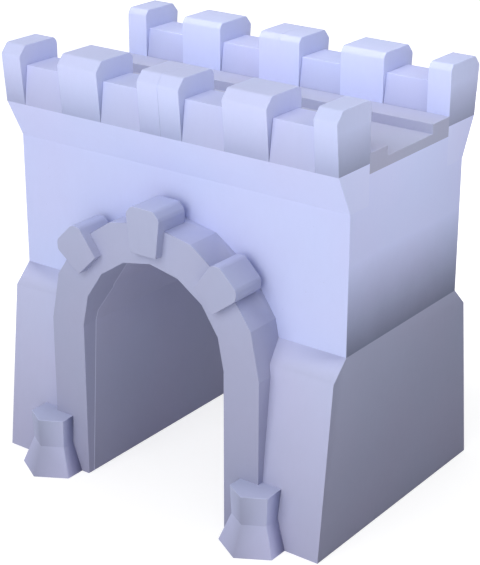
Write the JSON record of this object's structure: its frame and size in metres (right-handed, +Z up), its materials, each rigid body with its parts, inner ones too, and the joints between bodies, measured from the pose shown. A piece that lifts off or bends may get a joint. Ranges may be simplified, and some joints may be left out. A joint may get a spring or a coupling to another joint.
{
  "type": "castle gate",
  "caption": "Free-standing stone gate block with an arched passage, battered base, proud keystone and haunch stones, guard stones, flared parapet and merlons.",
  "frame": {"origin": "on the ground, under the middle of the block", "axes": "+Z up, +X along the front to the right, front face towards -Y"},
  "size_m": [10, 9, 11],
  "materials": {
    "upper_stone": "smooth pale blue limewashed masonry",
    "base_stone": "smooth blue-grey limewashed masonry",
    "dressed_stone": "finely dressed blue-grey stone",
    "deck_stone": "smooth worn paving stone"
  },
  "bodies": {
    "root": {"left_base": "base_stone", "right_base": "base_stone", "left_wall": "upper_stone", "right_wall": "upper_stone", "middle_wall": "upper_stone", "passage_vault": "dressed_stone", "front_flare": "upper_stone", "rear_flare": "upper_stone", "roof_bed": "upper_stone", "roof_deck": "deck_stone", "front_step": "deck_stone", "rear_step": "deck_stone", "front_left_jamb": "dressed_stone", "front_right_jamb": "dressed_stone", "rear_left_jamb": "dressed_stone", "rear_right_jamb": "dressed_stone", "front_ring": "dressed_stone", "rear_ring": "dressed_stone", "front_keystone": "dressed_stone", "rear_keystone": "dressed_stone", "front_left_haunch": "dressed_stone", "front_right_haunch": "dressed_stone", "rear_left_haunch": "dressed_stone", "rear_right_haunch": "dressed_stone", "front_left_guard": "dressed_stone", "front_right_guard": "dressed_stone", "rear_left_guard": "dressed_stone", "rear_right_guard": "dressed_stone", "front_sills": "upper_stone", "rear_sills": "upper_stone", "front_merlon_1": "upper_stone", "front_merlon_2": "upper_stone", "front_merlon_3": "upper_stone", "front_merlon_4": "upper_stone", "front_merlon_5": "upper_stone", "front_merlon_6": "upper_stone", "rear_merlon_1": "upper_stone", "rear_merlon_2": "upper_stone", "rear_merlon_3": "upper_stone", "rear_merlon_4": "upper_stone", "rear_merlon_5": "upper_stone", "rear_merlon_6": "upper_stone"}
  },
  "joints": []
}
